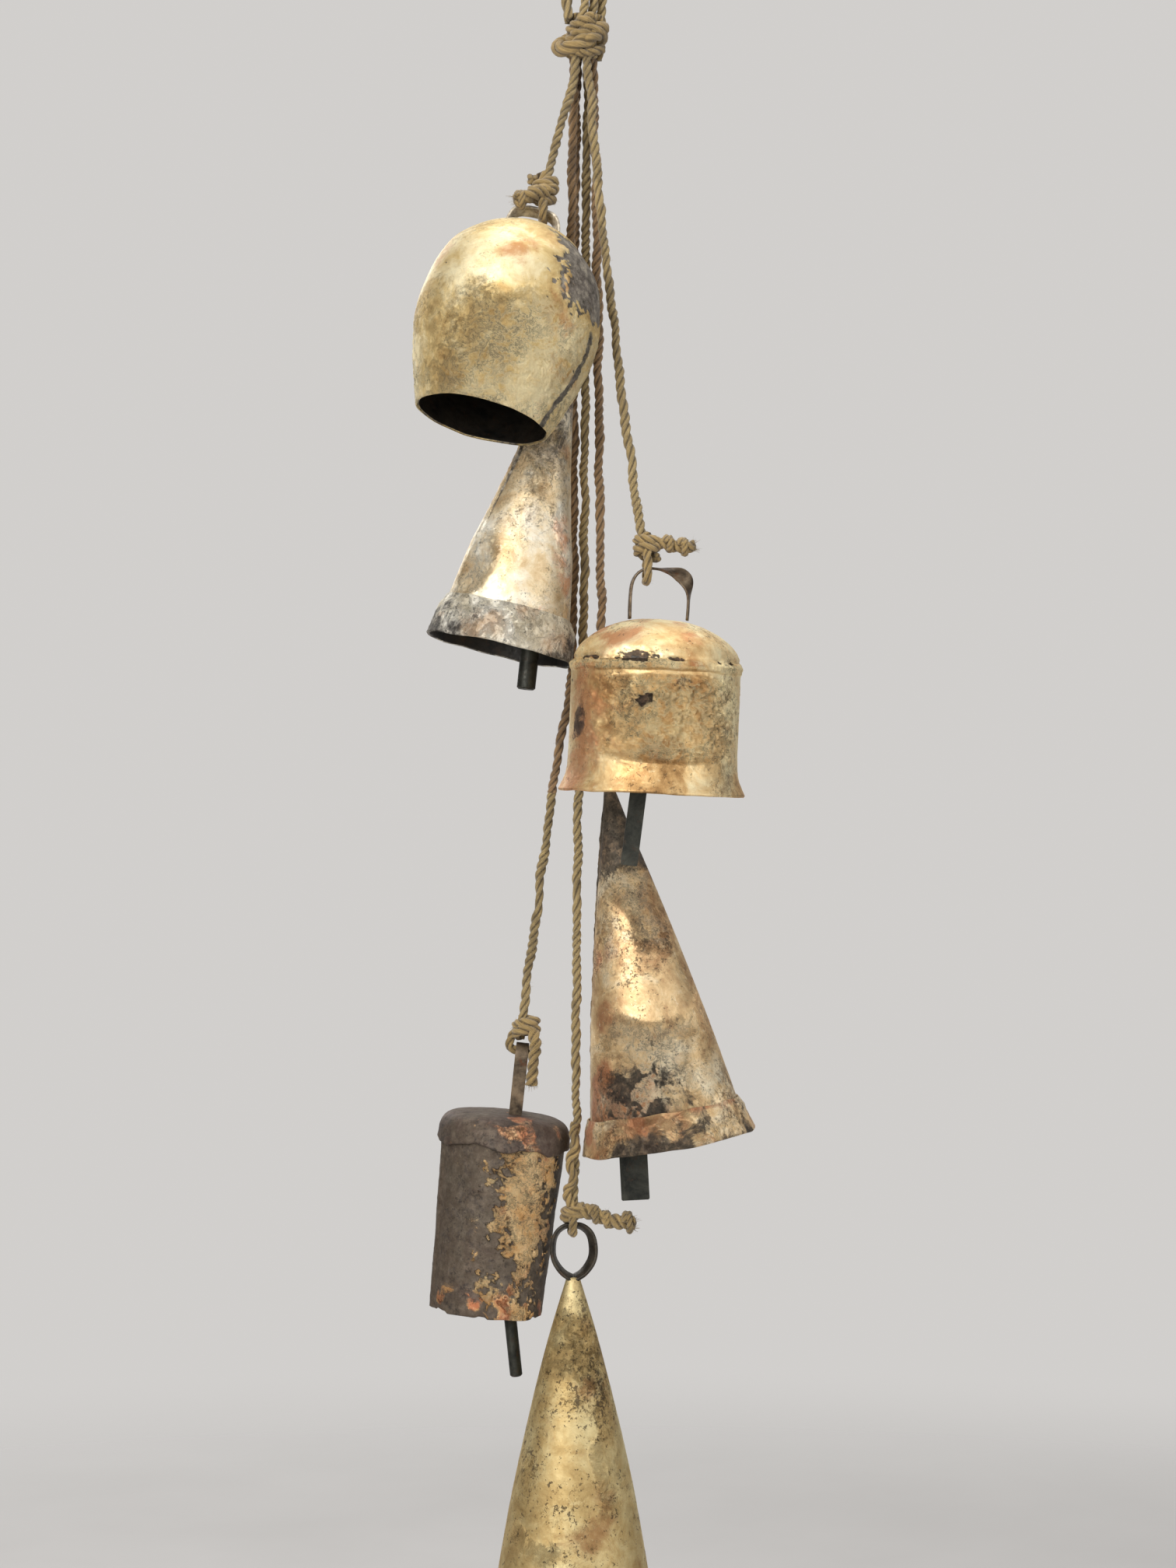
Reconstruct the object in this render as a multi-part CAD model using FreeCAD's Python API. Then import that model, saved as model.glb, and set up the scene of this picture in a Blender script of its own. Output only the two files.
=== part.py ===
import FreeCAD, Part
import math
import os

from FreeCAD import Rotation, Vector

os.makedirs("parts", exist_ok=True)

# A wind chime of six beaten-metal bells, each on its own jute cord, under one knot and one loop.
# Millimetres and degrees. The origin is where a hook bears on the inside of the hanging loop,
# +X is to the right of someone who faces the chime, +Y points away from them and +Z is up.

# --- driving dimensions -----------------------------------------------------------------------
cord_radius = 2.0
sheet = 1.2              # beaten sheet of the bells
strip_thickness = 0.9    # steel strip of the hangers
strip_width = 5.5
strand_gap = 0.4         # between a cord and the hanger strip that rides on it
edge_gap = 0.6           # between the cord and the strip's edges
pin_radius = 1.2         # clapper pins
wire_radius = 0.9        # clapper wires
pin_clearance = 0.6      # between a pin and the eye round it
stem_radius = 1.2        # stem of a ring hanger, set in the tip of its cone

# --- main knot and hanging loop ----------------------------------------------------------------
knot_bottom = -76.0
knot_centre_x = 3.5
knot_top = -56.0
knot_radius = 9.2
loop_strand_pitch = 4.2

# --- where the cords run -----------------------------------------------------------------------
# The first point is the centre of a cord's round upper end, just under the main knot.
cord_start = knot_bottom - cord_radius - 0.4
cord_routes = {
    "1": [(-1.8, -4.8, cord_start), (-2.6, -5.8, -89), (-6.4, -9.2, -100), (-12.6, -15.6, -125.5)],
    "2": [(-2.4, 0, cord_start), (-3.2, 5.4, -125), (-3.5, 11.4, -174)],
    "3": [(3.4, -4.8, cord_start), (7.4, -8.4, -125), (13.2, -14, -180), (20.3, -19.5, -240), (26.2, -24, -282)],
    "4": [(5.8, 0, cord_start), (7.2, 9.5, -128), (8.2, 17.0, -185), (8.8, 18.6, -270), (10.0, 18, -353)],
    "5_upper": [(-1.0, 4.7, cord_start), (-1.8, 13.6, -128), (-2.5, 22.6, -185), (-2.4, 22.2, -262),
                (-2.8, 19.6, -345), (-9.2, 18.6, -369), (-12.0, 18, -390)],
    "6_upper": [(3.6, 4.7, cord_start), (2.9, 12.4, -128), (2.5, 19.4, -185), (2.2, 19.4, -270),
                (1.5, 16.4, -345), (-0.6, 13.4, -394)],
}
# The lower lengths of the two longest cords swing on their own, from where they leave the others.
split_gap = cord_radius + 0.4
cord_routes["5_lower"] = [(-12.3, 18, -390 - split_gap), (-18.3, 18.3, -440), (-24.9, 18, -487)]
cord_routes["6_lower"] = [(-0.7, 13.2, -394 - split_gap), (-1.2, 10.0, -455), (-1.6, 5.6, -540), (-2.7, 5, -566)]

# --- bells --------------------------------------------------------------------------------------
# hang: the axis of the strand of cord that the hanger rides on
# swing: how far the mouth has swung to the left of straight down, and lean: how far to the front
# offset: the bell's own axis, left (-) or right (+) of the hang point
# crown: height of the top of the bell over the hang point
# profile: (radius, height over the crown) of the outside, from the crown to the mouth
bells = {
    1: dict(hang=(-15.4, -18, -148.0), swing=13.8, lean=11.5, offset=-3.3, crown=-3.4,
            profile=[(0, 0), (12, -1.8), (23.2, -8.2), (33.8, -21), (38.6, -44), (35.6, -65.6), (28.3, -87.8)]),
    2: dict(hang=(-3.5, 11, -194.3), swing=12.9, lean=3.5, offset=0, crown=-12.8,
            profile=[(5, 0), (7.6, -12.8), (13.3, -42), (20.6, -73.3), (27.4, -111.5)]),
    3: dict(hang=(28.5, -24, -300.3), swing=2.5, lean=0, offset=5.6, crown=-16.0),
    4: dict(hang=(10.0, 18, -371.1), swing=-9.6, lean=1, offset=0, crown=-15.8,
            profile=[(2.0, 0), (5.4, -15.5), (13.7, -50.7), (24.2, -98.3), (33.0, -147)]),
    5: dict(hang=(-24.9, 18, -501.6), swing=6, lean=0, offset=-3.9, crown=-27.4),
    6: dict(hang=(-2.7, 5, -578.7), swing=0, lean=0, offset=0, crown=-19.4,
            profile=[(2.8, 0), (10.9, -27), (19.2, -60), (26.2, -91.6), (32.3, -125.4), (37.8, -157)]),
}

dome_radius = 35.6       # bell 3: crown and skirt
dome_height = 20.6
skirt_profile = [(35.6, -20.6), (35.6, -45), (35.7, -60), (36.6, -66.5), (39.4, -73)]

lid_profile = [(0, 0), (18, -0.6), (25.4, -2.6), (28.3, -7), (28.4, -13.4)]     # bell 5
body_top = (26.9, -8.0)
body_mouth = (24.4, -86)

# rim bands of bells 2 and 4: the outside, from the top edge to the mouth
rim_bands = {
    2: [(28.7, -107.0), (30.3, -113.0), (32.2, -124.6)],
    4: [(34.4, -141.5), (35.5, -148.0), (38.0, -156.1)],
}

# ring hangers of the cones: outer width and height
rings = {2: (13, 16), 4: (13, 18), 6: (18, 22.7)}

# end knots: bottom and top of the turns over the hang point, their outer radius, and the
# points of the loose tail, from the hang point
knots = {
    1: dict(bottom=6.2, top=21.0, radius=6.8, tail=[(-3, -6.6, 9), (-10.5, -7.4, 5.6)], tail_radius=3.0),
    2: dict(bottom=5.0, top=18.5, radius=5.5, tail=[(0, -1, 14), (-7, 3, 12)], tail_radius=2.2),
    3: dict(bottom=8.2, top=19.5, radius=6.0, tail=[(4, 0, 12.8), (18.5, -1, 11.8)], tail_radius=2.4),
    4: dict(bottom=5.2, top=18.0, radius=6.0, tail=[(2, 1, 12), (9, 3, 10)], tail_radius=2.2),
    5: dict(bottom=4.8, top=14.5, radius=6.4, tail=[(5.1, -4, 6.5), (5.4, -7, -12)], tail_radius=2.0),
    6: dict(bottom=4.8, top=12.5, radius=5.6, tail=[(4, -1, 7.4), (13, -2, 6.2), (25.5, -2, 3.4)],
            tail_radius=3.0),
}

# clappers: height of the pin under the crown, its place beside the bell's axis, the height of
# the clapper's top and bottom under the pin, and the angle at which it hangs, towards the right
clappers = {
    1: dict(pin=-13.0, beside=0, top=-30, bottom=-58, hangs=8.0),
    2: dict(pin=-13.0, beside=0, top=-84, bottom=-127, hangs=6.7),
    3: dict(pin=-11.0, beside=0, top=-52, bottom=-93.5, hangs=-4.9),
    4: dict(pin=-20.0, beside=0, top=-108, bottom=-160, hangs=-6.6),
    5: dict(pin=-14.0, beside=-5, top=-44, bottom=-102, hangs=12.0),
    6: dict(pin=-20.0, beside=0, top=-104, bottom=-150, hangs=0),
}
rod_radii = {1: 3.0, 2: 4.0, 5: 2.7, 6: 4.0}
bar_sizes = {3: (7.0, 4.0), 4: (12.2, 3.6)}    # width and thickness
socket_depth = 6.0       # how far a wire goes into the top of a rod
bar_hole_radius = 2.2


# --- shapes -------------------------------------------------------------------------------------
def cylinder(start, end, radius):
    along = end - start
    return Part.makeCylinder(radius, along.Length, start, along)


def capsule(start, end, radius):
    """A length of cord with two round ends."""
    ends = [Part.makeSphere(radius, start), Part.makeSphere(radius, end)]
    return cylinder(start, end, radius).fuse(ends).removeSplitter()


def joined(first, *others):
    return first.fuse(list(others)).removeSplitter()


def cord_path(points):
    """Straight runs joined by tangent arcs as large as the runs allow, and the arcs' radii."""
    edges, radii, last = [], [], points[0]
    for before, corner, after in zip(points, points[1:], points[2:]):
        into, out = corner - before, after - corner
        reach = 0.45 * min(into.Length, out.Length)
        half_turn = into.getAngle(out) / 2
        radius = reach / math.tan(half_turn)
        into.normalize()
        out.normalize()
        inward = (out - into).normalize()
        middle = corner + inward * (radius / math.cos(half_turn) - radius)
        edges.append(Part.LineSegment(last, corner - into * reach).toShape())
        last = corner + out * reach
        edges.append(Part.Arc(corner - into * reach, middle, last).toShape())
        radii.append(radius)
    edges.append(Part.LineSegment(last, points[-1]).toShape())
    return Part.Wire(edges), radii


def cord(name, points, radius=cord_radius):
    """A cord's tube along its route. It prints the arcs' radii and compares the volume."""
    points = [Vector(*p) for p in points]
    path, radii = cord_path(points)
    section = Part.Wire(Part.Circle(points[0], points[1] - points[0], radius).toShape())
    tube = path.makePipeShell([section], True, False)
    expected = math.pi * radius ** 2 * path.Length
    print(f"{name}: {path.Length:.1f} mm long, volume {tube.Volume / expected:.4f} of the expected, "
          f"arc radii {[round(r) for r in radii]} mm")
    return tube


def turned(points, tangents=None):
    """A solid turned about Z. A run of points in a list of its own is one smooth curve."""
    edges, last = [], None
    for item in points:
        run = item if isinstance(item, list) else [item]
        run = [Vector(radius, 0, height) for radius, height in run]
        if last is not None and not last.isEqual(run[0], 1e-6):
            edges.append(Part.LineSegment(last, run[0]).toShape())
        if len(run) > 1:
            curve = Part.BSplineCurve()
            curve.interpolate(run)
            edges.append(curve.toShape())
        last = run[-1]
    first = edges[0].firstVertex().Point
    if not last.isEqual(first, 1e-6):
        edges.append(Part.LineSegment(last, first).toShape())
    return Part.Face(Part.Wire(edges)).revolve(Vector(), Vector(0, 0, 1), 360)


def inset(profile):
    """The inside of a bell's profile, one sheet thickness in from each of its points."""
    top, mouth = profile[0], profile[-1]
    inner = [(max(top[0] - sheet, 0.0), top[1] - sheet)]
    for before, here, after in zip(profile, profile[1:], profile[2:]):
        along = Vector(after[0] - before[0], 0, after[1] - before[1]).normalize()
        inner.append((here[0] + along.z * sheet, here[1] - along.x * sheet))
    return inner + [(mouth[0] - sheet, mouth[1])]


def shell(profile):
    """The beaten sheet of a bell, and the hollow inside it."""
    inner = inset(profile)
    crown_top, crown_under = (0, profile[0][1]), (0, inner[0][1])
    wall = turned([crown_top, profile, inner[::-1], crown_under] if profile[0][0] else
                  [profile, inner[::-1]])
    hollow = turned([crown_under, inner, (0, inner[-1][1])] if inner[0][0] else
                    [inner, (0, inner[-1][1])])
    return wall, hollow


def dome(radius, height):
    """Points of a quarter ellipse, from the axis out to the shoulder."""
    steps = [math.radians(angle) for angle in (0, 20, 40, 60, 76, 90)]
    return [(radius * math.sin(t), height * (math.cos(t) - 1)) for t in steps]


def slot_form(half_width, top, bottom, width):
    """A flat form with a round top and, if it is tall enough, a round bottom, centred on Y."""
    back = Vector(0, -width / 2, 0)
    rounds = [Part.makeCylinder(half_width, width, back + Vector(0, 0, z), Vector(0, 1, 0))
              for z in (top - half_width, bottom + half_width)]
    height = top - bottom - 2 * half_width
    corner = back + Vector(-half_width, 0, bottom + half_width)
    return joined(Part.makeBox(2 * half_width, width, height, corner), *rounds)


def strip_loop(half_width, top, bottom):
    """A closed loop of hanger strip. top is the height of its outside over the hang point."""
    outside = slot_form(half_width, top, bottom, strip_width)
    t = strip_thickness
    return outside.cut(slot_form(half_width - t, top - t, bottom + t, 2 * strip_width))


def bridge(half_width, top, bottom):
    """The low flat hanger of bell 1, with rounded shoulders."""
    t, shoulder = strip_thickness, 3.0
    across = Vector(0, 1, 0)

    def form(half, upper, lower, width, corner):
        box = Part.makeBox(2 * half, width, upper - lower, Vector(-half, -width / 2, lower))
        tops = [e for e in box.Edges if e.CenterOfMass.z > upper - 0.01 and abs(e.CenterOfMass.x) > half - 0.01]
        along_y = [e for e in tops if abs(e.tangentAt(e.FirstParameter).dot(across)) > 0.9]
        return box.makeFillet(corner, along_y)

    outside = form(half_width, top, bottom, strip_width, shoulder)
    return outside.cut(form(half_width - t, top - t, bottom - 1, 2 * strip_width, shoulder - t))


hanger_top = cord_radius + strand_gap + strip_thickness


def barrel(radius, bottom, top, turns=3):
    """The turns of a knot, as one solid turned about Z, with a groove between the turns."""
    section = (top - bottom) / turns
    groove = radius - 0.45 * section
    corners = [Vector(groove, 0, bottom + section * n) for n in range(turns + 1)]
    edges = [Part.LineSegment(Vector(0, 0, bottom), corners[0]).toShape()]
    for lower, upper in zip(corners, corners[1:]):
        crest = Vector(radius, 0, (lower.z + upper.z) / 2)
        edges.append(Part.Arc(lower, crest, upper).toShape())
    edges.append(Part.LineSegment(corners[-1], Vector(0, 0, top)).toShape())
    edges.append(Part.LineSegment(Vector(0, 0, top), Vector(0, 0, bottom)).toShape())
    return Part.Face(Part.Wire(edges)).revolve(Vector(), Vector(0, 0, 1), 360)


def hanging_strand(side, top):
    """The cord that comes down from a knot, passes through the hanger and goes up again."""
    bend = side - strip_width / 2 - 0.2
    cut = bend * (1 - math.cos(math.radians(45)))
    left = [Vector(0, -side, top), Vector(0, -side, bend), Vector(0, cut - side, cut), Vector(0, bend - side, 0)]
    right = [Vector(0, -p.y, p.z) for p in left]
    path = Part.Wire([
        Part.LineSegment(left[0], left[1]).toShape(),
        Part.Arc(left[1], left[2], left[3]).toShape(),
        Part.LineSegment(left[3], right[3]).toShape(),
        Part.Arc(right[3], right[2], right[1]).toShape(),
        Part.LineSegment(right[1], right[0]).toShape(),
    ])
    section = Part.Wire(Part.Circle(left[0], Vector(0, 0, 1), cord_radius).toShape())
    return path.makePipeShell([section], True, False)


def end_knot(number):
    """The turns of a knot, the strand that passes through the hanger, and the tail."""
    spec = knots[number]
    turns = barrel(spec["radius"], spec["bottom"], spec["top"])
    strand = hanging_strand(strip_width / 2 + edge_gap + cord_radius, spec["bottom"] + 2.6)
    if number == 5:
        strand = strand.rotated(Vector(), Vector(0, 0, 1), 90)
    tail_points = [Vector(*p) for p in spec["tail"]]
    tail = [capsule(a, b, spec["tail_radius"]) for a, b in zip(tail_points, tail_points[1:])]
    return joined(turns, strand, *tail)


def clapper_pin(number, hollow):
    """A pin across a cone, or a staple under a wide crown, cut to the inside of the bell."""
    spec = clappers[number]
    centre = Vector(spec["beside"], 0, spec["pin"])
    if number in rings:
        return cylinder(centre + Vector(0, -40, 0), centre + Vector(0, 40, 0), pin_radius).common(hollow)
    half = 5.0
    pin = cylinder(centre + Vector(0, -half, 0), centre + Vector(0, half, 0), pin_radius)
    corners = [centre + Vector(0, sign * half, 0) for sign in (-1, 1)]
    legs = [capsule(c, c + Vector(0, 0, 20), pin_radius) for c in corners]
    return joined(pin, *legs).common(hollow)


def clapper(number):
    """The wire with its eye round the pin, and the clapper under it, both hanging from the pin."""
    spec = clappers[number]
    eye_radius = pin_radius + pin_clearance + wire_radius
    eye = Part.makeTorus(eye_radius, wire_radius, Vector(), Vector(0, 1, 0))
    top, bottom = spec["top"], spec["bottom"]
    if number in rod_radii:
        radius = rod_radii[number]
        wire = joined(eye, cylinder(Vector(0, 0, -eye_radius), Vector(0, 0, top - socket_depth), wire_radius))
        rod = cylinder(Vector(0, 0, top), Vector(0, 0, bottom), radius)
        ends = [e for e in rod.Edges if abs(e.CenterOfMass.z - bottom) < 0.01 or abs(e.CenterOfMass.z - top) < 0.01]
        weight = rod.makeChamfer(0.7, [e for e in ends if e.Closed])
        socket = cylinder(Vector(0, 0, top + 1), Vector(0, 0, top - socket_depth), wire_radius)
        return wire, weight.cut(socket)
    width, thickness = bar_sizes[number]
    link_radius = thickness / 2 + 2.0
    link = Part.makeTorus(link_radius, wire_radius, Vector(0, 0, top), Vector(1, 0, 0))
    stem = cylinder(Vector(0, 0, -eye_radius), Vector(0, 0, top + link_radius), wire_radius)
    wire = joined(eye, stem, link)
    bar = Part.makeBox(width, thickness, top - bottom, Vector(-width / 2, -thickness / 2, bottom))
    bar = bar.makeChamfer(0.5, [e for e in bar.Edges if abs(e.CenterOfMass.y) < 0.01])
    hole = cylinder(Vector(0, -thickness, top - link_radius), Vector(0, thickness, top - link_radius), bar_hole_radius)
    return wire, bar.cut(hole)


# --- assembly -----------------------------------------------------------------------------------
def knot_turn(number):
    """How a bell's end knot is turned. The strand in the hanger is the axis on which the bell tips."""
    spec = bells[number]
    if number == 5:
        return Rotation(Vector(0, 1, 0), spec["swing"])
    return Rotation(Vector(1, 0, 0), -spec["lean"])


def bell_turn(number):
    spec = bells[number]
    if number == 5:
        return knot_turn(5) * Rotation(Vector(1, 0, 0), -spec["lean"])
    return knot_turn(number) * Rotation(Vector(0, 1, 0), spec["swing"])


def placed(shape, turn, origin):
    copy = shape.copy()
    copy.Placement = FreeCAD.Placement(origin, turn).multiply(shape.Placement)
    return copy


nodes = {}


def add_bell(number):
    spec = bells[number]
    crown = Vector(spec["offset"], 0, spec["crown"])
    local = {}

    def lowered(shape):
        return placed(shape, Rotation(), crown)

    if number == 3:
        outer, inner = dome(dome_radius, dome_height), dome(dome_radius - sheet, dome_height - sheet)
        inner = [(radius, height - sheet) for radius, height in inner]
        local["bell_3_crown"] = lowered(turned([outer, inner[::-1]]))
        inside = [(radius - sheet, height) for radius, height in skirt_profile]
        local["bell_3_skirt"] = lowered(turned([skirt_profile, inside[::-1]]))
        hollow = turned([inner, (0, inner[-1][1])])
        crown_form = lowered(turned([outer, (0, outer[-1][1])]))
        arch = placed(strip_loop(12.1, 0, -40), Rotation(), Vector(crown.x, 0, 12.1 - 6.8))
        above = Part.makeBox(60, 60, 60, Vector(-30, -30, spec["crown"] - 8))
        local["hanger_3"] = arch.common(above).cut(crown_form)
    elif number == 5:
        wall, hollow = shell(lid_profile)
        local["bell_5_lid"] = lowered(wall)
        inside = [(radius - sheet, height) for radius, height in (body_mouth, body_top)]
        local["bell_5_body"] = lowered(turned([body_top, body_mouth, *inside]))
        half = 7.0
        loop = strip_loop(half, hanger_top, -60)
        loop = placed(loop, Rotation(Vector(0, 0, 1), 90), Vector())
        above = Part.makeBox(60, 60, 60, Vector(-30, -30, spec["crown"] - 8))
        lid_form = lowered(turned([lid_profile, (0, lid_profile[-1][1])]))
        local["hanger_5"] = loop.common(above).cut(lid_form)
    elif number == 1:
        wall, hollow = shell(spec["profile"])
        local["bell_1_shell"] = lowered(wall)
        body_form = lowered(turned([spec["profile"], (0, spec["profile"][-1][1])]))
        low = placed(bridge(10, hanger_top, -9), Rotation(), Vector(crown.x, 0, 0))
        local["hanger_1"] = low.cut(body_form)
    else:
        wall, hollow = shell(spec["profile"])
        socket = cylinder(Vector(0, 0, 1), Vector(0, 0, -sheet), stem_radius)
        local[f"bell_{number}_shell"] = lowered(wall.cut(socket))
        width, height = rings[number]
        ring = strip_loop(width / 2, hanger_top, hanger_top - height)
        stem = cylinder(Vector(0, 0, hanger_top - height + strip_thickness / 2), crown - Vector(0, 0, sheet), stem_radius)
        local[f"hanger_{number}"] = joined(ring, stem)
        if number in rim_bands:
            outside = rim_bands[number]
            (r0, z0), (r1, z1), (r2, z2) = outside
            cone_mouth = spec["profile"][-1]
            inside = [(r2 - sheet, z2), (r1 - sheet, z1), (cone_mouth[0] + 0.05, cone_mouth[1]),
                      (cone_mouth[0] + 0.05, z0)]
            local[f"bell_{number}_rim"] = lowered(turned([*outside, *inside]))

    local[f"clapper_pin_{number}"] = lowered(clapper_pin(number, hollow))
    hang = clappers[number]
    pin = crown + Vector(hang["beside"], 0, hang["pin"])
    wire, weight = clapper(number)
    turn = Rotation(Vector(0, 1, 0), -hang["hangs"])
    local[f"clapper_wire_{number}"] = placed(wire, turn, pin)
    local[f"clapper_{number}"] = placed(weight, turn, pin)
    origin = Vector(*spec["hang"])
    for name, shape in local.items():
        nodes[name] = placed(shape, bell_turn(number), origin)
    nodes[f"end_knot_{number}"] = placed(end_knot(number), knot_turn(number), origin)


def main_knot():
    """Three turns round the cords, and the bulge of the last tuck at the lower left."""
    turns = barrel(knot_radius, 0, knot_top - knot_bottom).translated(Vector(knot_centre_x, 0, knot_bottom))
    tuck = capsule(Vector(-3.4, -2, -69), Vector(-7.6, -2.5, -71.6), 3.8)
    return joined(turns, tuck)


def loop_strand(place):
    """One of the three strands over the hook. place is -1, 0 or 1, from front to back."""
    y = place * loop_strand_pitch
    foot = 5.2 + 4.0 * place
    route = [(-4.5, y, -59), (-9, y, -22), (-6.5, y, cord_radius), (6.5, y, cord_radius),
             (9.6 + place, y, -22), (foot, y, -59)]
    strand = cord(f"loop_strand_{place + 2}", route).cut(nodes["main_knot"])
    return max(strand.Solids, key=lambda solid: solid.Volume)


nodes["main_knot"] = main_knot()
for place in (-1, 0, 1):
    nodes[f"loop_strand_{place + 2}"] = loop_strand(place)
for number in bells:
    add_bell(number)
for name, route in cord_routes.items():
    tube = cord(f"cord_{name}", route).fuse(Part.makeSphere(cord_radius, Vector(*route[0])))
    nodes[f"cord_{name}"] = tube if "upper" in name else tube.cut(nodes[f"end_knot_{name[0]}"])

for name, shape in nodes.items():
    solids = shape.Solids
    print(f"{name}: {len(solids)} solid, valid {shape.isValid()}, {shape.Volume:.0f} mm3")
    (solids[0] if len(solids) == 1 else Part.makeCompound(solids)).exportStep(f"parts/{name}.step")
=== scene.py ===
import math
import random

import bpy
from mathutils import Matrix, Vector, noise


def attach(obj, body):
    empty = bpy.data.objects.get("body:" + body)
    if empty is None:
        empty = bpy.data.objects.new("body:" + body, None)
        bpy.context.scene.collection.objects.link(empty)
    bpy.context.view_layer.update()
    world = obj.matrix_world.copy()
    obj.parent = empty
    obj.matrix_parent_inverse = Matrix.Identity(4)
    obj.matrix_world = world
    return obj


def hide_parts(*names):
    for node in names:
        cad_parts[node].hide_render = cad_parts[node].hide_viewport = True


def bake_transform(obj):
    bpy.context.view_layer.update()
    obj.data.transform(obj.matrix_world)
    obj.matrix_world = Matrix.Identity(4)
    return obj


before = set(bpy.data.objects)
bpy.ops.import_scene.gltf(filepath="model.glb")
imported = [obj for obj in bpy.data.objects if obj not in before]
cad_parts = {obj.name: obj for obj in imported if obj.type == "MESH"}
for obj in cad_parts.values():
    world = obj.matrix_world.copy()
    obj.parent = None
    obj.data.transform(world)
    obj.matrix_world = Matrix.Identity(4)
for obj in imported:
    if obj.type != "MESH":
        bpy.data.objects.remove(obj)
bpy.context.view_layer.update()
scene = bpy.context.scene
rng = random.Random(11)

# Lengths below are in millimetres, as in the CAD model. MM brings them to the frame's metres.
MM = 0.001
CAMERA_DISTANCE = 1300
PHOTO_WIDTH = 504  # of what the photo shows at the chime's distance
SENSOR_WIDTH = 36
FLOOR_HEIGHT = -1.0  # metres

# --- camera, light and floor --------------------------------------------------------------------
camera_data = bpy.data.cameras.new("camera")
camera_data.sensor_fit = "HORIZONTAL"
camera_data.sensor_width = SENSOR_WIDTH
camera_data.lens = SENSOR_WIDTH * CAMERA_DISTANCE / PHOTO_WIDTH
camera_data.clip_end = 50
camera = bpy.data.objects.new("camera", camera_data)
camera.location = (0.0037, -CAMERA_DISTANCE * MM, -0.386)
camera.rotation_euler = (math.radians(90), 0, 0)
scene.collection.objects.link(camera)
scene.camera = camera


def area_light(name, place, target, size, watts, colour):
    data = bpy.data.lights.new(name, "AREA")
    data.shape = "RECTANGLE"
    data.size, data.size_y = size
    data.energy = watts
    data.color = colour
    lamp = bpy.data.objects.new(name, data)
    lamp.location = place
    lamp.rotation_euler = (Vector(target) - Vector(place)).to_track_quat("-Z", "Y").to_euler()
    scene.collection.objects.link(lamp)


middle = (0, 0, -0.4)
area_light("key", (-0.8, -1.45, 0.3), middle, (0.6, 1.4), 30, (1.0, 0.98, 0.955))
area_light("fill", (1.4, -1.0, -0.2), middle, (0.3, 1.6), 10, (0.97, 0.98, 1.0))
area_light("top", (0.1, 0.2, 0.9), middle, (1.0, 1.0), 8, (1, 1, 1))
area_light("back", (-0.9, 1.8, 0.5), middle, (0.8, 1.0), 9, (1, 1, 1))

scene.view_settings.view_transform = "Standard"


# --- node helpers -------------------------------------------------------------------------------
def linear(red, green, blue):
    """A display colour, 0 to 255, as scene-linear RGBA."""
    def channel(value):
        value /= 255
        return value / 12.92 if value <= 0.04045 else ((value + 0.055) / 1.055) ** 2.4
    return (channel(red), channel(green), channel(blue), 1)


class Graph:
    """A node tree and short names for the nodes in it. A value may be a constant or a socket."""

    def __init__(self, tree):
        self.tree = tree

    def link(self, source, target):
        if isinstance(source, (int, float, tuple)):
            target.default_value = source
        else:
            self.tree.links.new(source, target)

    def add(self, kind, inputs=None, **settings):
        """A new node, of which this returns the outputs."""
        node = self.tree.nodes.new("ShaderNode" + kind)
        for name, value in settings.items():
            setattr(node, name, value)
        for socket, value in (inputs or {}).items():
            self.link(value, node.inputs[socket])
        return node.outputs

    def math(self, operation, a, b=0.0, clamp=False):
        return self.add("Math", {0: a, 1: b}, operation=operation, use_clamp=clamp)["Value"]

    def times(self, a, b):
        return self.math("MULTIPLY", a, b)

    def plus(self, a, b):
        return self.math("ADD", a, b)

    def step(self, value, low, high, start=0.0, end=1.0):
        """start up to low, end from high on, and a smooth passage between."""
        inputs = {"Value": value, "From Min": low, "From Max": high, "To Min": start, "To Max": end}
        return self.add("MapRange", inputs, interpolation_type="SMOOTHSTEP")["Result"]


class Nodes(Graph):
    """A material's node tree."""

    def __init__(self, name):
        self.material = bpy.data.materials.new(name)
        self.material.use_nodes = True
        super().__init__(self.material.node_tree)
        self.shader = self.tree.nodes["Principled BSDF"]
        self.place = self.add("TexCoord")["Object"]

    def noise(self, scale, detail=6.0, roughness=0.6, distortion=0.0, place=None):
        inputs = {"Vector": place or self.place, "Scale": scale, "Detail": detail, "Roughness": roughness,
                  "Distortion": distortion}
        return self.add("TexNoise", inputs)["Fac"]

    def ramp(self, value, stops):
        node = self.tree.nodes.new("ShaderNodeValToRGB")
        self.link(value, node.inputs["Fac"])
        elements = node.color_ramp.elements
        while len(elements) < len(stops):
            elements.new(0.5)
        for element, (position, colour) in zip(elements, stops):
            element.position = position
            element.color = colour
        return node.outputs["Color"]

    def mix(self, factor, a, b):
        return self.add("Mix", {0: factor, 6: a, 7: b}, data_type="RGBA")[2]

    def painted(self, layer):
        return self.add("VertexColor", layer_name=layer)["Color"]

    def masks(self):
        """The painted masks of a bell: bare dark metal, copper and brazed roughness."""
        split = self.add("SeparateColor", {"Color": self.painted("mask")})
        return split["Red"], split["Green"], split["Blue"]

    def bump(self, layers):
        """Layers of (height, strength, distance in metres), the coarse ones first."""
        normal = {}
        for height, strength, distance in layers:
            inputs = {"Height": height, "Strength": strength, "Distance": distance, **normal}
            normal = {"Normal": self.add("Bump", inputs)["Normal"]}
        self.link(normal["Normal"], self.shader.inputs["Normal"])


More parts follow.
